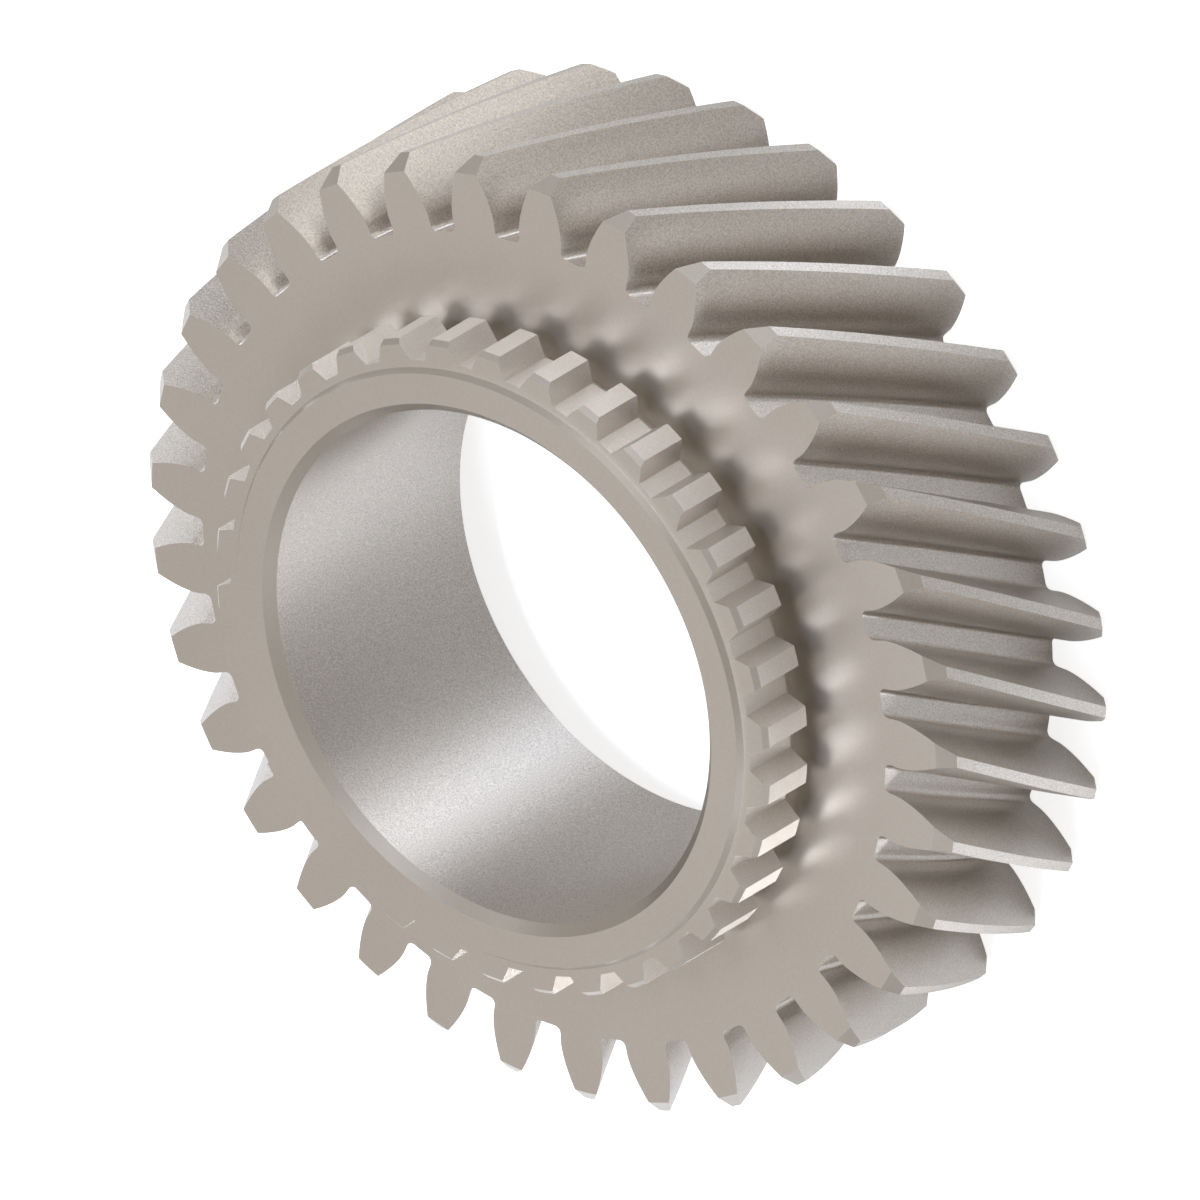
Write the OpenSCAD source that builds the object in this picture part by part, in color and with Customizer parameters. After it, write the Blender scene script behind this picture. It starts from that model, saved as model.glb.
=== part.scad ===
// Helical gear wheel with a straight toothed clutch ring, cut from one turned blank.
// The wheel lies on its back face with its axis upright.
// The origin is on the axis in the plane of the back face.
// Lengths are in millimetres and angles in degrees.

/* [Helical teeth] */
// number of helical teeth around the rim
gear_teeth = 33; // [30:1:40]
// module measured square to a tooth
normal_module = 2.25; // [2.1:0.05:2.6]
// right-hand helix angle at the pitch circle
helix_angle = 29.3; // [20:0.1:35]
// pressure angle measured square to a tooth
pressure_angle = 20; // [16:0.5:23]
// tooth thickness along the pitch circle
tooth_thickness = 3.17; // [2.7:0.01:4]
// height of a tooth above the pitch circle
addendum = 2.23; // [1.6:0.01:2.5]
// depth of a tooth gap below the pitch circle
dedendum = 4.74; // [3:0.01:5.2]
// fillet at the foot of a tooth
root_fillet = 0.6; // [0.3:0.05:0.9]
// chamfer turned on the tooth tips at both ends
tip_chamfer = 1.3; // [0.5:0.1:2]

/* [Rim and web] */
// width of the toothed rim
rim_w = 23.4; // [16:0.1:32]
// wall left under the tooth gaps, around the back recess
rim_wall = 3.8; // [2:0.1:6]
// depth of the turned recess in the back
recess_depth = 4; // [2:0.1:8]
// chamfer on the edge of the back recess
recess_chamfer = 0.5; // [0.2:0.1:1]

/* [Clutch ring] */
// number of straight clutch teeth
clutch_teeth = 34; // [26:1:42]
// diameter over the clutch teeth
clutch_tip_d = 61.36; // [60.6:0.02:64]
// diameter at the floor of the clutch tooth gaps
clutch_root_d = 57.58; // [56.8:0.02:58.6]
// width of a clutch tooth at its tip
clutch_tip_w = 1.87; // [1:0.01:2.4]
// width of a clutch tooth at its foot
clutch_root_w = 3.67; // [2.6:0.01:4]
// length of the clutch teeth along the axis
clutch_w = 5.66; // [3:0.01:9]
// chamfer turned on the clutch tooth tips
clutch_chamfer = 0.45; // [0.2:0.05:0.7]
// diameter of the neck between the web and the clutch teeth
neck_d = 55.3; // [53:0.1:56.6]
// length of the neck
neck_h = 1.86; // [1:0.01:4]

/* [Hub] */
// bore of the hub
bore_d = 48; // [40:0.1:49]
// chamfer at both ends of the bore
bore_chamfer = 0.9; // [0.3:0.1:1.2]
// diameter of the hub face, measured at the foot of its bevel
hub_face_d = 56.26; // [54:0.02:56.7]
// height of the hub face above the clutch teeth
hub_face_h = 0.48; // [0.2:0.01:1]
// bevel around the hub face
hub_bevel = 0.4; // [0.1:0.05:0.8]

/* [Hidden] */

steel = [0.7, 0.66, 0.62];
// angle of the first clutch tooth, where a helical tooth is at zero in the front face of the rim
clutch_turn = 8.43;
// straight pieces in an involute flank, in a root fillet, and along the helix
flank_steps = 4;
fillet_steps = 3;
helix_steps = 5;
// how far a cutting or joining shape runs past the face it meets
overrun = 0.5;
$fn = 144;

gear_pitch = 360 / gear_teeth;
pitch_r = gear_teeth * normal_module / cos(helix_angle) / 2;
tip_r = pitch_r + addendum;
root_r = pitch_r - dedendum;
transverse_angle = atan(tan(pressure_angle) / cos(helix_angle));
base_r = pitch_r * cos(transverse_angle);
twist_angle = rim_w * tan(helix_angle) / pitch_r * 180 / PI;
foot_r = root_r + root_fillet;
roll_start = base_r < foot_r ? sqrt(pow(foot_r / base_r, 2) - 1) : 0;
roll_end = sqrt(pow(tip_r / base_r, 2) - 1);

bore_r = bore_d / 2;
recess_r = root_r - rim_wall;
neck_top = rim_w + neck_h;
clutch_top = neck_top + clutch_w;
hub_top = clutch_top + hub_face_h;

// angle between the start of an involute and the point where its pressure angle is a
function involute(a) = tan(a) * 180 / PI - a;

// half of the angle that a tooth takes up at radius r
function half_tooth(r) =
    tooth_thickness / pitch_r * 90 / PI + involute(transverse_angle) - involute(acos(min(1, base_r / r)));

function polar(r, a) = [r * cos(a), r * sin(a)];

// radius reached on the involute after a roll given as a tangent
function roll_r(roll) = base_r * sqrt(1 + roll * roll);

// fillet from the root circle up to the flank, on the side of a tooth with positive angles
function fillet_points() =
    let (centre_a = half_tooth(foot_r) + root_fillet / foot_r * 180 / PI)
    [for (i = [0:fillet_steps])
        polar(foot_r, centre_a) - root_fillet * polar(1, centre_a + 90 * i / fillet_steps)];

// involute flank from the fillet, or from the base circle, up to the tip
function flank_points() =
    [for (i = [base_r > foot_r ? 0 : 1:flank_steps])
        let (r = roll_r(roll_start + (roll_end - roll_start) * i / flank_steps))
        polar(r, half_tooth(r))];

// one side of a tooth from root to tip, then the other side from tip to root
function tooth_points() =
    let (side = concat(fillet_points(), flank_points()), last = len(side) - 1)
    concat([for (p = side) [p.x, -p.y]], [for (i = [last:-1:0]) side[i]]);

// point p turned about the axis by angle a
function turned(p, a) = [p.x * cos(a) - p.y * sin(a), p.x * sin(a) + p.y * cos(a)];

// outline of all the helical teeth, cut square to the axis
module gear_outline() {
    tooth = tooth_points();
    polygon([for (k = [0:gear_teeth - 1], p = tooth) turned(p, k * gear_pitch)]);
}

// the toothed rim: the outline drawn up along the helix, within two turned cones that chamfer the tips
module helical_rim() {
    intersection() {
        rotate(-twist_angle)
            linear_extrude(height = rim_w, twist = -twist_angle, slices = helix_steps)
                gear_outline();
        rotate_extrude()
            polygon([
                [0, 0],
                [tip_r - tip_chamfer, 0],
                [tip_r + overrun, tip_chamfer + overrun],
                [tip_r + overrun, rim_w - tip_chamfer - overrun],
                [tip_r - tip_chamfer, rim_w],
                [0, rim_w]
            ]);
    }
}

// straight clutch teeth that taper from foot to tip, around the disc they stand on
module clutch_outline() {
    tip_x = clutch_tip_d / 2;
    foot_x = sqrt(pow(clutch_root_d / 2, 2) - pow(clutch_root_w / 2, 2));
    circle(d = clutch_root_d);
    for (k = [0:clutch_teeth - 1])
        rotate(clutch_turn + k * 360 / clutch_teeth)
            polygon([
                [bore_r, -clutch_root_w / 2],
                [foot_x, -clutch_root_w / 2],
                [tip_x, -clutch_tip_w / 2],
                [tip_x + overrun, -clutch_tip_w / 2],
                [tip_x + overrun, clutch_tip_w / 2],
                [tip_x, clutch_tip_w / 2],
                [foot_x, clutch_root_w / 2],
                [bore_r, clutch_root_w / 2]
            ]);
}

// the clutch ring, with its tips turned and chamfered at the front
module clutch_ring() {
    tip = clutch_tip_d / 2;
    intersection() {
        translate([0, 0, neck_top])
            linear_extrude(height = clutch_w)
                clutch_outline();
        rotate_extrude()
            polygon([
                [0, neck_top - overrun],
                [tip, neck_top - overrun],
                [tip, clutch_top - clutch_chamfer],
                [tip - clutch_chamfer, clutch_top],
                [0, clutch_top]
            ]);
    }
}

// neck behind the clutch teeth
module neck() {
    translate([0, 0, rim_w - overrun])
        cylinder(d = neck_d, h = neck_h + 2 * overrun);
}

// bevelled hub face that stands just above the clutch teeth
module hub_face() {
    translate([0, 0, clutch_top - overrun])
        cylinder(d = hub_face_d, h = overrun);
    translate([0, 0, clutch_top])
        cylinder(d1 = hub_face_d, d2 = hub_face_d - 2 * hub_bevel, h = hub_face_h);
}

// bore with a chamfer at each end
module bore() {
    rotate_extrude()
        polygon([
            [0, -overrun],
            [bore_r + bore_chamfer, -overrun],
            [bore_r + bore_chamfer, recess_depth],
            [bore_r, recess_depth + bore_chamfer],
            [bore_r, hub_top - bore_chamfer],
            [bore_r + bore_chamfer, hub_top],
            [bore_r + bore_chamfer, hub_top + overrun],
            [0, hub_top + overrun]
        ]);
}

// shallow recess turned in the back, with a chamfered edge
module back_recess() {
    rotate_extrude()
        polygon([
            [0, -overrun],
            [recess_r + recess_chamfer, -overrun],
            [recess_r + recess_chamfer, 0],
            [recess_r, recess_chamfer],
            [recess_r, recess_depth],
            [0, recess_depth]
        ]);
}

module gear_wheel() {
    color(steel)
        difference() {
            union() {
                helical_rim();
                neck();
                clutch_ring();
                hub_face();
            }
            back_recess();
            bore();
        }
}

gear_wheel();
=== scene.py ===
"""Looks of the gear wheel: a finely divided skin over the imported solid, its steel, studio and camera."""

import logging
import math
from dataclasses import dataclass, field
from enum import Enum

import bmesh
import bpy
from mathutils import Matrix, Vector


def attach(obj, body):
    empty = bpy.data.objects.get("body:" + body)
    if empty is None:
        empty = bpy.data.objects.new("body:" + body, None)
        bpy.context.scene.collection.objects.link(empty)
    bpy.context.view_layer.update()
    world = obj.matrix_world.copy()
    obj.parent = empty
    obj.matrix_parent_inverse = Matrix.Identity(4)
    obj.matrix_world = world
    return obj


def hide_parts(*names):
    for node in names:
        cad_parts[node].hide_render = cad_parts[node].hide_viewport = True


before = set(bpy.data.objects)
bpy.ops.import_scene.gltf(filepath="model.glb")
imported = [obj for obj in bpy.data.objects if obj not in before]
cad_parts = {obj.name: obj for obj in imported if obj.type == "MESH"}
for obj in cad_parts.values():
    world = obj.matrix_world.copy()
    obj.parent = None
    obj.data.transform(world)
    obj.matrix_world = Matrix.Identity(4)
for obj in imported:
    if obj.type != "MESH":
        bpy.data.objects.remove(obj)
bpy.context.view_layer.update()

LOG = logging.getLogger("gear_wheel")
MM = 0.001
# Height in metres of the point that the lamps aim at.
MIDDLE_HEIGHT = 0.015
# Two vertices closer than this are one, in the millimetres of the skin.
WELD = 1e-4
AXIS = Vector((0.0, 0.0, 1.0))
CENTRE = Vector((0.0, 0.0, 0.0))
# The turn, in full turns, that draws light out across the cutting marks.
ACROSS_THE_MARKS = 0.25
# How far a normal leans along the axis: a wall leans less than UPRIGHT, a helical flank less than FLANK.
UPRIGHT = 0.4
FLANK = 0.6
# Nearly all of a noise texture lies between these two values.
NOISE_LOW, NOISE_HIGH = 0.3, 0.7
WARM = (1.0, 0.93, 0.84)
COOL = (0.86, 0.91, 1.0)
BLUE = (0.76, 0.85, 1.0)

Point = tuple[float, float]


class Surface(Enum):
    """Kinds of machined surface; the values are the wheel's material slots."""

    FACED = 0
    TURNED = 1
    MILLED = 2
    HOBBED = 3
    POLISHED = 4


class Cut(Enum):
    """Which way a ring of teeth is drawn along the axis."""

    HELICAL = "helical"
    STRAIGHT = "straight"


def polar(radius: float, angle: float) -> Point:
    """Returns the point at a radius and an angle in radians."""
    return radius * math.cos(angle), radius * math.sin(angle)


def involute(angle: float) -> float:
    """Returns the involute function of a pressure angle in radians."""
    return math.tan(angle) - angle


def arc(radius: float, start: float, end: float, steps: int) -> list[Point]:
    """Points along an arc about the axis.

    Args:
        radius: radius of the arc in millimetres.
        start: first angle in radians.
        end: last angle in radians.
        steps: number of straight pieces.

    Returns:
        The points, both ends included.
    """
    return [polar(radius, start + (end - start) * i / steps) for i in range(steps + 1)]


def between(start: Point, end: Point, share: float) -> Point:
    """Returns the point that lies a share of the way from the start to the end."""
    return start[0] + (end[0] - start[0]) * share, start[1] + (end[1] - start[1]) * share


def mirrored(side: list[Point]) -> list[Point]:
    """Returns one side of a tooth followed by its mirror image, from foot to foot."""
    return [(x, -y) for x, y in side] + [(x, y) for x, y in reversed(side)]


@dataclass
class ToothRing:
    """Shared work of the two rings of teeth: one tooth is drawn along the axis and then repeated.

    Sizes are in millimetres and radians, heights from the back face of the wheel.
    """

    count: int
    tip_r: float
    root_r: float
    z_low: float
    z_high: float
    cut: Cut
    twist_per_mm: float
    low_chamfer: float
    high_chamfer: float
    first_angle: float
    length_steps: int
    station: str = field(default="station", init=False)

    @property
    def pitch(self) -> float:
        """Returns the angle from one tooth to the next."""
        return 2 * math.pi / self.count

    def side(self, end_r: float) -> list[Point]:
        """Returns one side of a tooth from the middle of the gap to the middle of the tip."""
        raise NotImplementedError

    def turn_at(self, z: float) -> float:
        """Works out how far a tooth is turned about the axis.

        Args:
            z: height in millimetres.

        Returns:
            The angle in radians.
        """
        if self.cut is Cut.STRAIGHT:
            return self.first_angle
        return self.first_angle + (z - self.z_high) * self.twist_per_mm

    def place(self, verts: list[bmesh.types.BMVert], layer: object, end_r: float, z: float) -> None:
        """Sets vertices on the tooth outline of one height.

        Args:
            verts: the vertices of one tooth at this height.
            layer: the layer that holds each vertex's place along the outline.
            end_r: radius at which the tooth is cut off.
            z: the height.
        """
        outline = mirrored(self.side(end_r))
        turn = Matrix.Rotation(self.turn_at(z), 3, "Z")
        for v in verts:
            x, y = outline[v[layer]]
            v.co = turn @ Vector((x, y, 0.0)) + AXIS * z

    def extend(
        self, bm: bmesh.types.BMesh, edges: list[bmesh.types.BMEdge], layer: object, end_r: float, z: float
    ) -> None:
        """Extrudes an end of the tooth to a shorter outline, which leaves the chamfer on its tip.

        Args:
            bm: the mesh of the tooth.
            edges: the outline at this end.
            layer: the layer that holds each vertex's place along the outline.
            end_r: radius at which the new outline is cut off.
            z: height of the new outline.
        """
        out = bmesh.ops.extrude_edge_only(bm, edges=edges)["geom"]
        self.place([g for g in out if isinstance(g, bmesh.types.BMVert)], layer, end_r, z)

    def build(self) -> bmesh.types.BMesh:
        """Builds the open wall of all the teeth.

        Returns:
            A mesh whose two rims are the outlines at the ends of the teeth.
        """
        bm = bmesh.new()
        layer = bm.verts.layers.int.new(self.station)
        z_start = self.z_low + self.low_chamfer
        z_end = self.z_high - self.high_chamfer
        outline = mirrored(self.side(self.tip_r))
        verts = [bm.verts.new((0.0, 0.0, 0.0)) for _ in outline]
        for i, v in enumerate(verts):
            v[layer] = i
        self.place(verts, layer, self.tip_r, z_start)
        first = [bm.edges.new(pair) for pair in zip(verts, verts[1:])]
        swept = bmesh.ops.spin(
            bm,
            geom=verts + first,
            cent=CENTRE,
            axis=AXIS,
            dvec=AXIS * (z_end - z_start) / self.length_steps,
            angle=self.turn_at(z_end) - self.turn_at(z_start),
            steps=self.length_steps,
        )
        last = [g for g in swept["geom_last"] if isinstance(g, bmesh.types.BMEdge)]
        if self.low_chamfer > 0:
            self.extend(bm, first, layer, self.tip_r - self.low_chamfer, self.z_low)
        if self.high_chamfer > 0:
            self.extend(bm, last, layer, self.tip_r - self.high_chamfer, self.z_high)
        bmesh.ops.remove_doubles(bm, verts=bm.verts[:], dist=WELD)
        bmesh.ops.spin(
            bm,
            geom=bm.verts[:] + bm.edges[:] + bm.faces[:],
            cent=CENTRE,
            axis=AXIS,
            angle=self.pitch * (self.count - 1),
            steps=self.count - 1,
            use_duplicate=True,
        )
        bmesh.ops.remove_doubles(bm, verts=bm.verts[:], dist=WELD)
        return bm


@dataclass
class HelicalRim(ToothRing):
    """The toothed rim: right-hand helical teeth with involute flanks and fillets at their feet."""

    pitch_r: float = 0.0
    base_r: float = 0.0
    transverse_angle: float = 0.0
    thickness: float = 0.0
    fillet: float = 0.0
    flank_steps: int = 9
    fillet_steps: int = 5
    root_steps: int = 2
    tip_steps: int = 2

    def half_tooth(self, r: float) -> float:
        """Returns half of the angle that a tooth takes up at radius r."""
        at_pitch = self.thickness / self.pitch_r / 2
        return at_pitch + involute(self.transverse_angle) - involute(math.acos(min(1.0, self.base_r / r)))

    def side(self, end_r: float) -> list[Point]:
        """Draws the gap floor, the fillet, the flank and half of the tip.

        Args:
            end_r: radius at which the tooth is cut off.

        Returns:
            The points on the side with positive angles.
        """
        foot_r = self.root_r + self.fillet
        centre_a = self.half_tooth(foot_r) + self.fillet / foot_r
        cx, cy = polar(foot_r, centre_a)
        floor = arc(self.root_r, self.pitch / 2, centre_a, self.root_steps)[:-1]
        bend = []
        for i in range(self.fillet_steps + 1):
            dx, dy = polar(self.fillet, centre_a + math.pi / 2 * i / self.fillet_steps)
            bend.append((cx - dx, cy - dy))
        roll_end = math.sqrt((end_r / self.base_r) ** 2 - 1)
        rolls = [roll_end * i / self.flank_steps for i in range(self.flank_steps + 1)]
        radii = [self.base_r * math.sqrt(1 + roll**2) for roll in rolls]
        flank = [polar(r, self.half_tooth(r)) for r in radii]
        tip = arc(end_r, self.half_tooth(end_r), 0.0, self.tip_steps)[1:]
        return floor + bend + flank + tip


@dataclass
class ClutchRing(ToothRing):
    """The ring of straight clutch teeth, which narrow from foot to tip."""

    tip_w: float = 0.0
    root_w: float = 0.0
    floor_steps: int = 2
    flank_steps: int = 2
    tip_steps: int = 2

    def side(self, end_r: float) -> list[Point]:
        """Draws the gap floor, the straight flank and half of the tip.

        Args:
            end_r: radius at which the tooth is cut off.

        Returns:
            The points on the side with positive angles.
        """
        foot = (math.sqrt(self.root_r**2 - (self.root_w / 2) ** 2), self.root_w / 2)
        top = (self.tip_r, self.tip_w / 2)
        end = between(foot, top, (end_r - foot[0]) / (top[0] - foot[0]))
        flank = [between(foot, end, i / self.flank_steps) for i in range(self.flank_steps + 1)]
        floor = arc(self.root_r, self.pitch / 2, math.atan2(foot[1], foot[0]), self.floor_steps)[:-1]
        tip = arc(math.hypot(*end), math.atan2(end[1], end[0]), 0.0, self.tip_steps)[1:]
        return floor + flank + tip


@dataclass(frozen=True)
class TurnedWall:
    """A wall turned about the axis from a profile of radii and heights."""

    profile: tuple[Point, ...]
    segments: int = 256

    def build(self) -> bmesh.types.BMesh:
        """Spins the profile once round the axis.

        Returns:
            The open wall.
        """
        bm = bmesh.new()
        verts = [bm.verts.new((r, 0.0, z)) for r, z in self.profile]
        edges = [bm.edges.new(pair) for pair in zip(verts, verts[1:])]
        bmesh.ops.spin(
            bm,
            geom=verts + edges,
            cent=CENTRE,
            axis=AXIS,
            angle=2 * math.pi,
            steps=self.segments,
            use_merge=True,
        )
        return bm


@dataclass(frozen=True)
class MachinedSteel:
    """One finish of the steel: a warm grey metal with faint clouds in its tone and sheen, and a fine grain.

    Where spread_along_axis is above 0, the cutting marks run round the axis, and each light is drawn out
    along it.
    """

    name: str
    colour: tuple[float, float, float] = (0.69, 0.645, 0.595)
    roughness: float = 0.33
    roughness_spread: float = 0.05
    grain_scale: float = 6000.0
    grain: float = 0.03
    grain_depth: float = 6e-6
    grain_detail: float = 1.0
    cloud_scale: float = 45.0
    cloud_detail: float = 3.0
    cloud_tint: float = 0.015
    spread_along_axis: float = 0.0

    def material(self) -> bpy.types.Material:
        """Builds the node material.

        Returns:
            The material, with its grain and clouds on Object coordinates.
        """
        mat = bpy.data.materials.new(self.name)
        mat.use_nodes = True
        tree = mat.node_tree
        shader = tree.nodes["Principled BSDF"]
        shader.inputs["Metallic"].default_value = 1.0
        if self.spread_along_axis > 0:
            marks = tree.nodes.new("ShaderNodeTangent")
            marks.direction_type = "RADIAL"
            marks.axis = "Z"
            tree.links.new(marks.outputs["Tangent"], shader.inputs["Tangent"])
            shader.inputs["Anisotropic"].default_value = self.spread_along_axis
            shader.inputs["Anisotropic Rotation"].default_value = ACROSS_THE_MARKS
        coords = tree.nodes.new("ShaderNodeTexCoord").outputs["Object"]

        clouds = tree.nodes.new("ShaderNodeTexNoise")
        clouds.inputs["Scale"].default_value = self.cloud_scale
        clouds.inputs["Detail"].default_value = self.cloud_detail
        tree.links.new(coords, clouds.inputs["Vector"])

        tint = tree.nodes.new("ShaderNodeMix")
        tint.data_type = "RGBA"
        tint.inputs["A"].default_value = (*(c * (1.0 - self.cloud_tint) for c in self.colour), 1.0)
        tint.inputs["B"].default_value = (*(c * (1.0 + self.cloud_tint) for c in self.colour), 1.0)
        tree.links.new(clouds.outputs["Fac"], tint.inputs["Factor"])

        sheen = tree.nodes.new("ShaderNodeMapRange")
        sheen.inputs["To Min"].default_value = self.roughness - self.roughness_spread / 2
        sheen.inputs["To Max"].default_value = self.roughness + self.roughness_spread / 2
        tree.links.new(clouds.outputs["Fac"], sheen.inputs["Value"])
        tree.links.new(sheen.outputs["Result"], shader.inputs["Roughness"])

        grain = tree.nodes.new("ShaderNodeTexNoise")
        grain.inputs["Scale"].default_value = self.grain_scale
        grain.inputs["Detail"].default_value = self.grain_detail
        tree.links.new(coords, grain.inputs["Vector"])
        speckle = tree.nodes.new("ShaderNodeMapRange")
        speckle.inputs["From Min"].default_value = NOISE_LOW
        speckle.inputs["From Max"].default_value = NOISE_HIGH
        speckle.inputs["To Min"].default_value = 1.0 - self.grain
        speckle.inputs["To Max"].default_value = 1.0 + self.grain
        tree.links.new(grain.outputs["Fac"], speckle.inputs["Value"])
        grained = tree.nodes.new("ShaderNodeVectorMath")
        grained.operation = "SCALE"
        tree.links.new(tint.outputs["Result"], grained.inputs[0])
        tree.links.new(speckle.outputs["Result"], grained.inputs["Scale"])
        tree.links.new(grained.outputs["Vector"], shader.inputs["Base Color"])
        bump = tree.nodes.new("ShaderNodeBump")
        bump.inputs["Distance"].default_value = self.grain_depth
        bump.inputs["Strength"].default_value = 1.0
        tree.links.new(grain.outputs["Fac"], bump.inputs["Height"])
        tree.links.new(bump.outputs["Normal"], shader.inputs["Normal"])
        return mat


@dataclass
class GearWheel:
    """The whole wheel as one closed skin: rim, neck, clutch ring, hub face, bore and back recess.

    Sizes are in millimetres and radians, heights from the back face of the wheel.
    """

    finishes: dict[Surface, MachinedSteel]
    teeth: int = 33
    module: float = 2.25
    helix: float = math.radians(29.3)
    pressure: float = math.radians(20.0)
    thickness: float = 3.17
    addendum: float = 2.23
    dedendum: float = 4.74
    fillet: float = 0.6
    tip_chamfer: float = 1.3
    rim_w: float = 23.4
    rim_wall: float = 3.8
    recess_depth: float = 4.0
    recess_chamfer: float = 0.5
    clutch_teeth: int = 34
    clutch_tip_r: float = 30.68
    clutch_root_r: float = 28.79
    clutch_tip_w: float = 1.87
    clutch_root_w: float = 3.67
    clutch_w: float = 5.66
    clutch_chamfer: float = 0.45
    clutch_turn: float = math.radians(8.43)
    neck_r: float = 27.65
    neck_h: float = 1.86
    bore_r: float = 24.0
    bore_chamfer: float = 0.9
    hub_face_r: float = 28.13
    hub_face_h: float = 0.48
    hub_bevel: float = 0.4
    sharp_angle: float = math.radians(28.0)
    slot: str = "steel"

    @property
    def neck_top(self) -> float:
        """Returns the height of the back of the clutch teeth."""
        return self.rim_w + self.neck_h

    @property
    def clutch_top(self) -> float:
        """Returns the height of the front of the clutch teeth."""
        return self.neck_top + self.clutch_w

    @property
    def hub_top(self) -> float:
        """Returns the height of the hub face."""
        return self.clutch_top + self.hub_face_h

    def rim(self) -> HelicalRim:
        """Works out the rim's sizes from the module and the angles.

        Returns:
            The toothed rim.
        """
        pitch_r = self.teeth * self.module / math.cos(self.helix) / 2
        transverse = math.atan(math.tan(self.pressure) / math.cos(self.helix))
        return HelicalRim(
            count=self.teeth,
            tip_r=pitch_r + self.addendum,
            root_r=pitch_r - self.dedendum,
            z_low=0.0,
            z_high=self.rim_w,
            cut=Cut.HELICAL,
            twist_per_mm=math.tan(self.helix) / pitch_r,
            low_chamfer=self.tip_chamfer,
            high_chamfer=self.tip_chamfer,
            first_angle=0.0,
            length_steps=12,
            pitch_r=pitch_r,
            base_r=pitch_r * math.cos(transverse),
            transverse_angle=transverse,
            thickness=self.thickness,
            fillet=self.fillet,
        )

    def clutch(self) -> ClutchRing:
        """Sets the clutch teeth on the neck.

        Returns:
            The ring of clutch teeth.
        """
        return ClutchRing(
            count=self.clutch_teeth,
            tip_r=self.clutch_tip_r,
            root_r=self.clutch_root_r,
            z_low=self.neck_top,
            z_high=self.clutch_top,
            cut=Cut.STRAIGHT,
            twist_per_mm=0.0,
            low_chamfer=0.0,
            high_chamfer=self.clutch_chamfer,
            first_angle=self.clutch_turn,
            length_steps=1,
            tip_w=self.clutch_tip_w,
            root_w=self.clutch_root_w,
        )

    def turned_walls(self) -> list[TurnedWall]:
        """Sets out the profiles of the turned walls.

        Returns:
            The neck, and the wall from the hub face through the bore to the back recess.
        """
        chamfer_r = self.bore_r + self.bore_chamfer
        recess_r = self.rim().root_r - self.rim_wall
        neck = ((self.neck_r, self.rim_w), (self.neck_r, self.neck_top))
        inside = (
            (self.hub_face_r, self.clutch_top),
            (self.hub_face_r - self.hub_bevel, self.hub_top),
            (chamfer_r, self.hub_top),
            (self.bore_r, self.hub_top - self.bore_chamfer),
            (self.bore_r, self.recess_depth + self.bore_chamfer),
            (chamfer_r, self.recess_depth),
            (recess_r, self.recess_depth),
            (recess_r, self.recess_chamfer),
            (recess_r + self.recess_chamfer, 0.0),
        )
        return [TurnedWall(neck), TurnedWall(inside)]

    def skin(self) -> bmesh.types.BMesh:
        """Joins the walls and closes the flat faces between them.

        Returns:
            One closed mesh in millimetres.
        """
        bm = bmesh.new()
        for wall in [self.rim(), self.clutch(), *self.turned_walls()]:
            part = wall.build()
            mesh = bpy.data.meshes.new("wall")
            part.to_mesh(mesh)
            part.free()
            bm.from_mesh(mesh)
            bpy.data.meshes.remove(mesh)
        for z in (0.0, self.rim_w, self.neck_top, self.clutch_top):
            open_edges = [e for e in bm.edges if e.is_boundary]
            rims = [e for e in open_edges if all(abs(v.co.z - z) < WELD for v in e.verts)]
            bmesh.ops.triangle_fill(bm, use_beauty=True, edges=rims, normal=AXIS)
        bmesh.ops.remove_doubles(bm, verts=bm.verts[:], dist=WELD)
        bmesh.ops.recalc_face_normals(bm, faces=bm.faces[:])
        return bm

    def surface_of(self, face: bmesh.types.BMFace) -> Surface:
        """Tells from a face's place and slope how it was machined.

        Args:
            face: a face of the finished skin, in millimetres.

        Returns:
            The kind of surface.
        """
        middle = face.calc_center_median()
        r = math.hypot(middle.x, middle.y)
        slope = abs(face.normal.z)
        mouth_r = self.bore_r + self.bore_chamfer
        in_clutch_ring = mouth_r < r < self.clutch_tip_r + self.clutch_chamfer
        if slope < UPRIGHT:
            return Surface.MILLED if in_clutch_ring else Surface.TURNED
        if self.bore_r + WELD < r < mouth_r - WELD:
            return Surface.POLISHED
        return Surface.HOBBED if slope < FLANK else Surface.FACED

    def build(self) -> bpy.types.Object:
        """Makes the wheel's object, dresses it and sets it over its solid.

        Returns:
            The object, at the origin in metres.
        """
        bm = self.skin()
        open_edges = sum(1 for e in bm.edges if not e.is_manifold)
        for f in bm.faces:
            f.material_index = self.surface_of(f).value
        bmesh.ops.scale(bm, vec=(MM, MM, MM), verts=bm.verts[:])
        mesh = bpy.data.meshes.new("gear_wheel_skin")
        bm.to_mesh(mesh)
        bm.free()
        mesh.shade_smooth()
        mesh.set_sharp_from_angle(angle=self.sharp_angle)
        wheel = bpy.data.objects.new("gear_wheel_skin", mesh)
        bpy.context.scene.collection.objects.link(wheel)
        for surface in Surface:
            wheel.data.materials.append(self.finishes[surface].material())
        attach(wheel, "root")
        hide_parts("gear_wheel")
        LOG.info("wheel: %d faces, %d open edges", len(mesh.polygons), open_edges)
        return wheel


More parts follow.
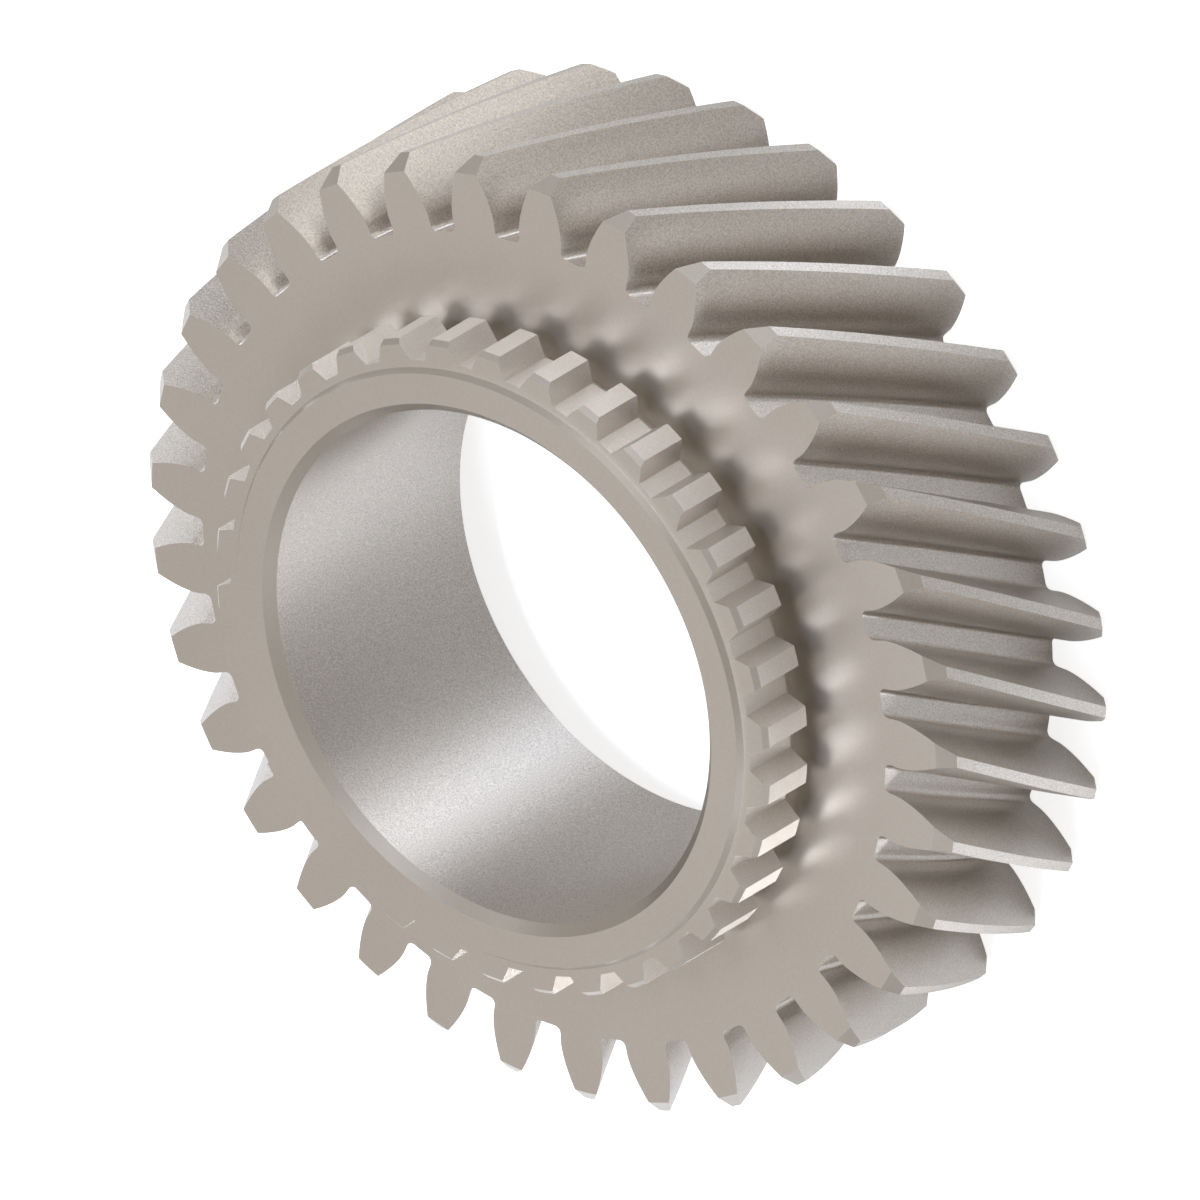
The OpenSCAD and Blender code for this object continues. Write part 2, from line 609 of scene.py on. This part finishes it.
@dataclass(frozen=True)
class SoftBox:
    """A flat lamp that points at the wheel."""

    name: str
    azimuth: float
    elevation: float
    width: float
    height: float
    power: float
    colour: tuple[float, float, float] = (1.0, 1.0, 1.0)
    distance: float = 0.6

    def build(self, target: Vector) -> bpy.types.Object:
        """Places the lamp round a target by its azimuth and elevation in degrees.

        Args:
            target: the point it aims at, in metres.

        Returns:
            The lamp.
        """
        a, e = math.radians(self.azimuth), math.radians(self.elevation)
        back = Vector((math.cos(a) * math.cos(e), math.sin(a) * math.cos(e), math.sin(e)))
        data = bpy.data.lights.new(self.name, "AREA")
        data.shape = "RECTANGLE"
        data.size = self.width
        data.size_y = self.height
        data.energy = self.power
        data.color = self.colour
        lamp = bpy.data.objects.new(self.name, data)
        lamp.location = target + back * self.distance
        lamp.rotation_mode = "QUATERNION"
        lamp.rotation_quaternion = back.to_track_quat("Z", "Y")
        bpy.context.scene.collection.objects.link(lamp)
        return lamp


@dataclass
class Studio:
    """A pale floor that reads as white paper, a soft sky and a few soft boxes, all in metres."""

    floor_side: float = 6.0
    floor_colour: tuple[float, float, float] = (0.6, 0.6, 0.6)
    sky_colour: tuple[float, float, float] = WARM
    sky_strength: float = 0.37
    glow_to_camera: float = 0.78
    glow_in_metal: float = 0.15
    lamps: tuple[SoftBox, ...] = ()

    def glow(self, tree: bpy.types.NodeTree, path: bpy.types.Node) -> bpy.types.NodeSocket:
        """Adds up the floor's glow, which is strong for the camera and weak in reflections.

        Args:
            tree: the node tree of the floor's material.
            path: its Light Path node.

        Returns:
            The socket with the strength of the glow.
        """
        total = None
        for ray, strength in (
            ("Is Camera Ray", self.glow_to_camera),
            ("Is Glossy Ray", self.glow_in_metal),
            ("Is Transmission Ray", self.glow_in_metal),
        ):
            step = tree.nodes.new("ShaderNodeMath")
            step.operation = "MULTIPLY_ADD"
            step.inputs[1].default_value = strength
            step.inputs[2].default_value = 0.0
            tree.links.new(path.outputs[ray], step.inputs[0])
            if total is not None:
                tree.links.new(total, step.inputs[2])
            total = step.outputs[0]
        return total

    def floor(self) -> bpy.types.Object:
        """Lays a floor that is white to the camera, keeps the wheel's shadow and glows a little in the metal.

        Returns:
            The floor.
        """
        bm = bmesh.new()
        bmesh.ops.create_grid(bm, x_segments=1, y_segments=1, size=self.floor_side / 2)
        mesh = bpy.data.meshes.new("floor")
        bm.to_mesh(mesh)
        bm.free()
        floor = bpy.data.objects.new("floor", mesh)
        bpy.context.scene.collection.objects.link(floor)
        mat = bpy.data.materials.new("white_floor")
        mat.use_nodes = True
        tree = mat.node_tree
        tree.nodes.remove(tree.nodes["Principled BSDF"])
        out = tree.nodes["Material Output"]
        paper = tree.nodes.new("ShaderNodeBsdfDiffuse")
        paper.inputs["Color"].default_value = (*self.floor_colour, 1.0)
        glow = tree.nodes.new("ShaderNodeEmission")
        glow.inputs["Color"].default_value = (1.0, 1.0, 1.0, 1.0)
        path = tree.nodes.new("ShaderNodeLightPath")
        tree.links.new(self.glow(tree, path), glow.inputs["Strength"])
        both = tree.nodes.new("ShaderNodeAddShader")
        tree.links.new(paper.outputs[0], both.inputs[0])
        tree.links.new(glow.outputs[0], both.inputs[1])
        tree.links.new(both.outputs[0], out.inputs["Surface"])
        mesh.materials.append(mat)
        return floor

    def sky(self) -> None:
        """Sets the world to one soft warm tone, and to white where the camera sees it."""
        world = bpy.data.worlds.new("soft_sky")
        bpy.context.scene.world = world
        world.use_nodes = True
        tree = world.node_tree
        sky = tree.nodes["Background"]
        sky.inputs["Color"].default_value = (*self.sky_colour, 1.0)
        sky.inputs["Strength"].default_value = self.sky_strength
        backdrop = tree.nodes.new("ShaderNodeBackground")
        backdrop.inputs["Color"].default_value = (1.0, 1.0, 1.0, 1.0)
        path = tree.nodes.new("ShaderNodeLightPath")
        choice = tree.nodes.new("ShaderNodeMixShader")
        tree.links.new(path.outputs["Is Camera Ray"], choice.inputs["Fac"])
        tree.links.new(sky.outputs[0], choice.inputs[1])
        tree.links.new(backdrop.outputs[0], choice.inputs[2])
        tree.links.new(choice.outputs[0], tree.nodes["World Output"].inputs["Surface"])

    def build(self, target: Vector) -> None:
        """Builds the floor, the sky and the lamps.

        Args:
            target: the point that the lamps aim at, in metres.
        """
        self.floor()
        self.sky()
        for lamp in self.lamps:
            lamp.build(target)
        LOG.info("studio: floor, sky and %d lamps", len(self.lamps))


@dataclass(frozen=True)
class ParallelCamera:
    """A camera with parallel projection, turned so that the wheel's axis leans across the picture.

    Angles are in degrees. The tilt is between the axis and the line of sight, the lean is the direction of
    the axis in the picture, and the turn is that of the wheel about its axis. The aim and the side of the
    frame are in millimetres, the distances in metres.
    """

    tilt: float = 46.18
    lean: float = 149.478
    turn: float = 64.306
    aim_height: float = 23.4
    aim_right: float = 4.862
    aim_up: float = 3.189
    frame_side: float = 104.216
    distance: float = 0.6
    nearest: float = 0.01
    farthest: float = 10.0

    def build(self) -> bpy.types.Object:
        """Creates the camera and makes it the scene's own.

        Returns:
            The camera object.
        """
        t, p = math.radians(self.tilt), math.radians(self.lean)
        u = Vector((math.cos(p), math.sin(p)))
        v = Vector((-math.sin(p), math.cos(p)))
        right = Vector((math.cos(t) * u.x, -v.x, math.sin(t) * u.x))
        up = Vector((-math.cos(t) * u.y, v.y, -math.sin(t) * u.y))
        turn = Matrix.Rotation(math.radians(self.turn), 3, "Z")
        right, up = turn @ right, turn @ up
        back = right.cross(up)
        aim = AXIS * self.aim_height + right * self.aim_right + up * self.aim_up
        data = bpy.data.cameras.new("camera")
        data.type = "ORTHO"
        data.ortho_scale = self.frame_side * MM
        data.clip_start = self.nearest
        data.clip_end = self.farthest
        camera = bpy.data.objects.new("camera", data)
        camera.rotation_mode = "QUATERNION"
        camera.rotation_quaternion = Matrix((right, up, back)).transposed().to_quaternion()
        camera.location = aim * MM + back * self.distance
        bpy.context.scene.collection.objects.link(camera)
        bpy.context.scene.camera = camera
        LOG.info("camera at %s", tuple(round(c, 3) for c in camera.location))
        return camera


FINISHES = {
    Surface.FACED: MachinedSteel("faced_steel"),
    Surface.TURNED: MachinedSteel(
        "turned_steel",
        roughness=0.44,
        grain=0.2,
        grain_scale=7500.0,
        grain_depth=1.4e-5,
        spread_along_axis=1.0,
    ),
    Surface.MILLED: MachinedSteel("milled_steel", roughness=0.5, grain=0.05, grain_depth=1e-5),
    Surface.HOBBED: MachinedSteel("hobbed_steel", roughness=0.35, grain=0.16, grain_depth=2.4e-5),
    Surface.POLISHED: MachinedSteel(
        "polished_steel", roughness=0.28, roughness_spread=0.03, grain_depth=2e-6
    ),
}

LAMPS = (
    SoftBox("streak_box", azimuth=302.0, elevation=69.0, width=0.1, height=0.2, power=1.7, colour=BLUE),
    SoftBox("top_box", azimuth=322.0, elevation=69.0, width=0.16, height=0.24, power=1.3, colour=COOL),
    SoftBox("left_bank", azimuth=120.0, elevation=50.0, width=0.2, height=0.2, power=1.0, colour=COOL),
    SoftBox("mid_bank", azimuth=130.0, elevation=54.0, width=0.3, height=0.2, power=0.55, colour=COOL),
    SoftBox("right_bank", azimuth=145.0, elevation=58.0, width=0.2, height=0.2, power=0.85, colour=COOL),
    SoftBox("back_box", azimuth=170.0, elevation=14.0, width=0.3, height=0.2, power=0.12, colour=COOL),
    SoftBox("side_box", azimuth=5.0, elevation=44.0, width=0.5, height=0.25, power=0.46, colour=COOL),
    SoftBox("low_box", azimuth=270.0, elevation=18.0, width=0.5, height=0.2, power=0.36),
    SoftBox("face_box", azimuth=64.0, elevation=46.0, width=0.45, height=0.3, power=0.06, colour=WARM),
)


def main() -> None:
    """Builds the wheel, the studio and the camera."""
    logging.basicConfig(level=logging.INFO, format="%(name)s: %(message)s")
    bpy.context.scene.view_settings.view_transform = "Standard"
    GearWheel(FINISHES).build()
    Studio(lamps=LAMPS).build(AXIS * MIDDLE_HEIGHT)
    ParallelCamera().build()


if __name__ == "__main__":
    main()
